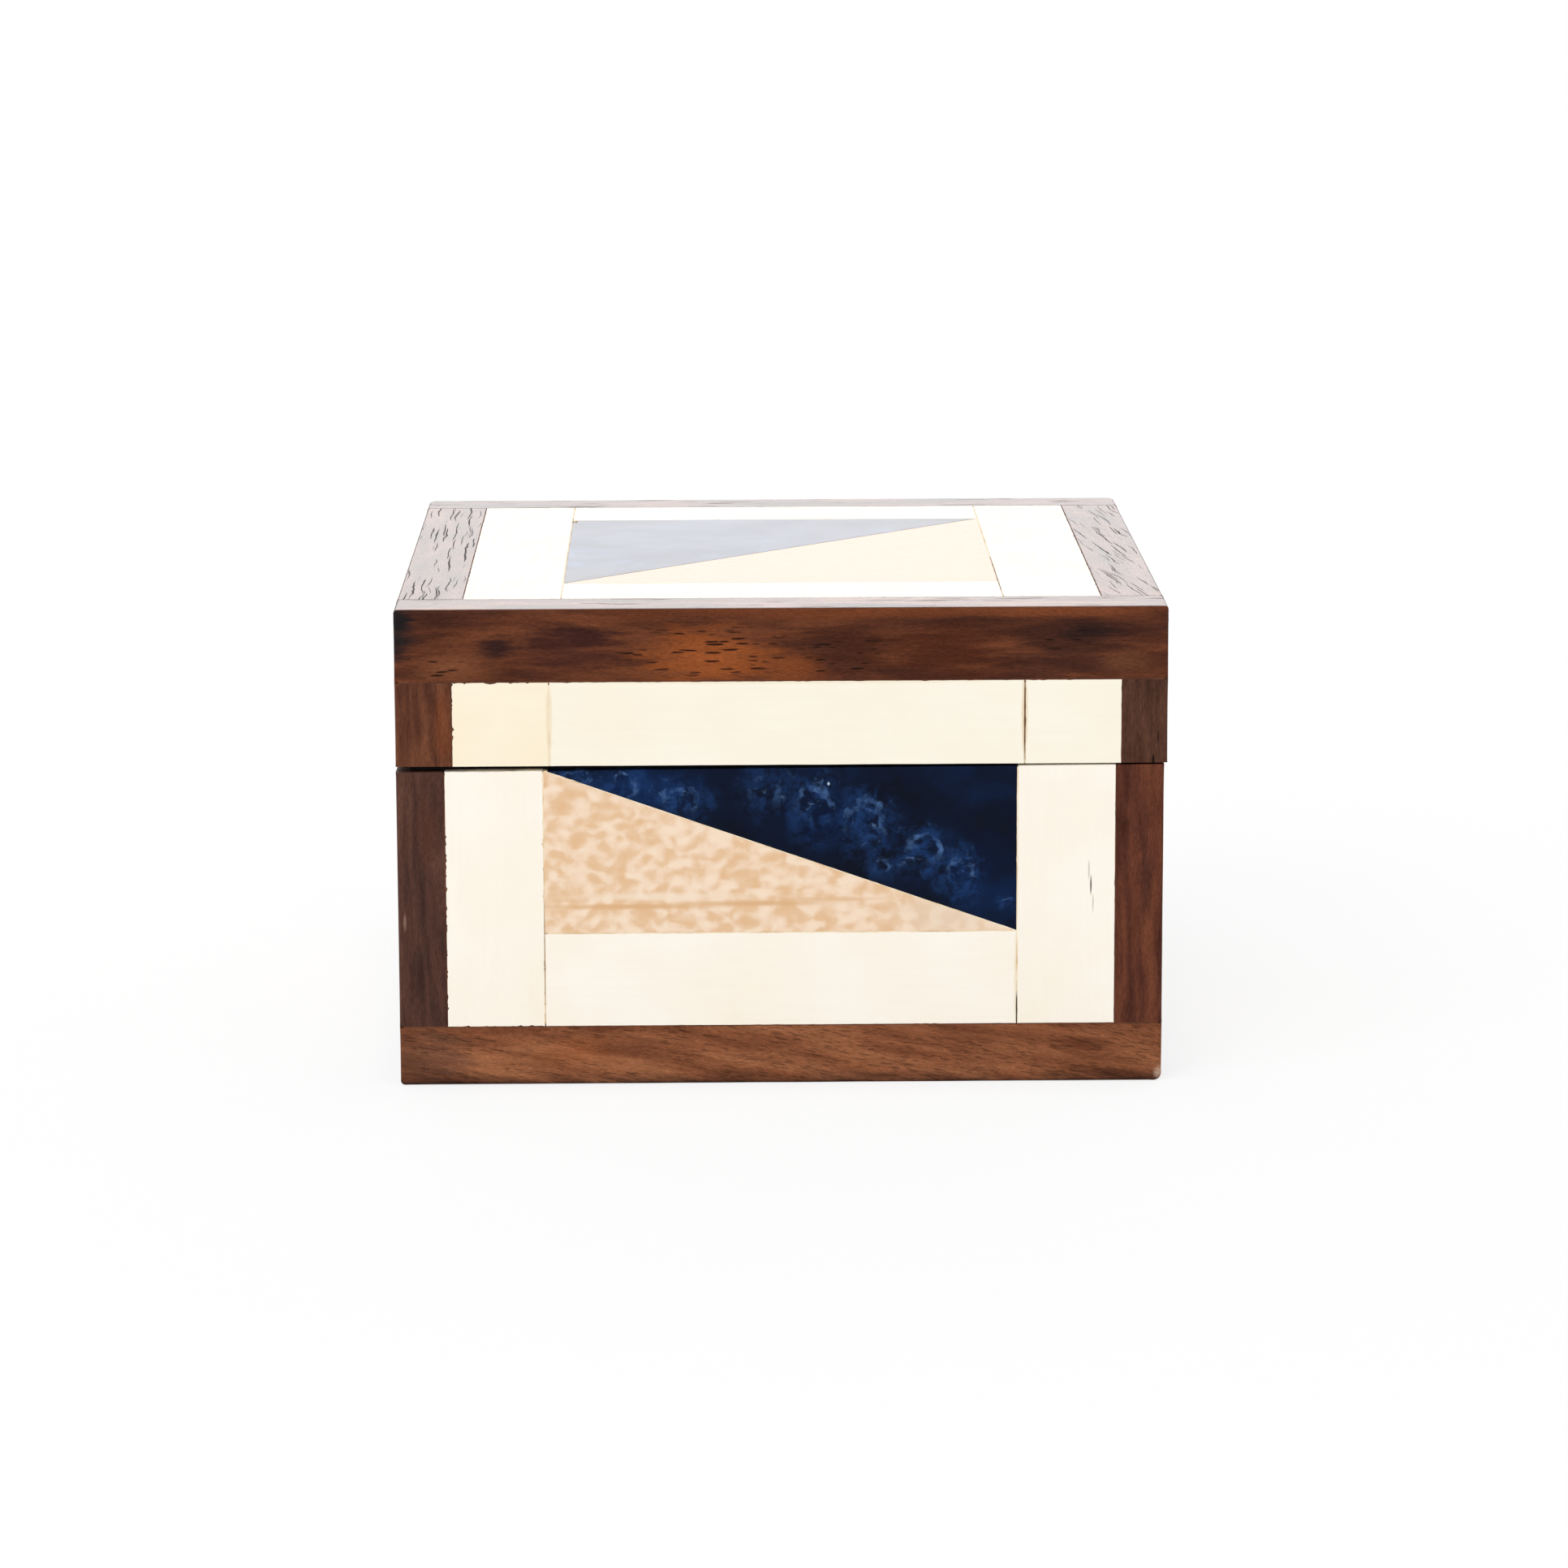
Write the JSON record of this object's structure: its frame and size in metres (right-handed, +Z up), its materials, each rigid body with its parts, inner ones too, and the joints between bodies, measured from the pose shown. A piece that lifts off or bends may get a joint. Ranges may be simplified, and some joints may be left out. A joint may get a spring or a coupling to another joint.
{
  "type": "inlaid wooden box",
  "caption": "Square keepsake box with a hinged lid, faced with dark wood and bone strips around panels of blue and cream resin split on the diagonal.",
  "frame": {"origin": "middle of the base's underside", "axes": "+Z up, front of the box towards -Y, +X to the right of someone facing the front"},
  "size_m": [0.1016, 0.1029, 0.064],
  "materials": {
    "dark_wood": "satin",
    "carcass_wood": "matte",
    "bone": "satin",
    "blue_resin": "polished",
    "cream_resin": "polished",
    "brass": "satin"
  },
  "bodies": {
    "base": {"base_back_blue_resin": "blue_resin", "base_back_board": "carcass_wood", "base_back_bone_strips": "bone", "base_back_cream_resin": "cream_resin", "base_back_wood_strips": "dark_wood", "base_floor": "carcass_wood", "base_front_blue_resin": "blue_resin", "base_front_board": "carcass_wood", "base_front_bottom_bone": "bone", "base_front_cream_resin": "cream_resin", "base_front_left_bone": "bone", "base_front_left_stile": "dark_wood", "base_front_rail": "dark_wood", "base_front_right_bone": "bone", "base_front_right_stile": "dark_wood", "base_hinge_screws": "brass", "base_left_blue_resin": "blue_resin", "base_left_board": "carcass_wood", "base_left_bone_strips": "bone", "base_left_cream_resin": "cream_resin", "base_left_wood_strips": "dark_wood", "base_right_blue_resin": "blue_resin", "base_right_board": "carcass_wood", "base_right_bone_strips": "bone", "base_right_cream_resin": "cream_resin", "base_right_wood_strips": "dark_wood", "hinge_pins": "brass", "left_hinge_base_leaf": "brass", "right_hinge_base_leaf": "brass"},
    "lid": {"left_hinge_lid_leaf": "brass", "lid_back_board": "carcass_wood", "lid_back_bone_strips": "bone", "lid_back_wood_strips": "dark_wood", "lid_front_board": "carcass_wood", "lid_front_left_bone": "bone", "lid_front_left_stile": "dark_wood", "lid_front_middle_bone": "bone", "lid_front_rail": "dark_wood", "lid_front_right_bone": "bone", "lid_front_right_stile": "dark_wood", "lid_hinge_screws": "brass", "lid_left_board": "carcass_wood", "lid_left_bone_strips": "bone", "lid_left_wood_strips": "dark_wood", "lid_right_board": "carcass_wood", "lid_right_bone_strips": "bone", "lid_right_wood_strips": "dark_wood", "lid_top_panel": "carcass_wood", "right_hinge_lid_leaf": "brass", "top_back_bone": "bone", "top_back_rail": "dark_wood", "top_blue_resin": "blue_resin", "top_cream_resin": "cream_resin", "top_front_bone": "bone", "top_front_rail": "dark_wood", "top_left_bone": "bone", "top_left_stile": "dark_wood", "top_right_bone": "bone", "top_right_stile": "dark_wood"}
  },
  "joints": [
    {"name": "lid_hinge", "type": "hinge", "parent": "base", "child": "lid", "pos_m": [0, 0.05068, 0.04295], "axis": [-1, 0, 0], "range_deg": [0, 104]}
  ]
}
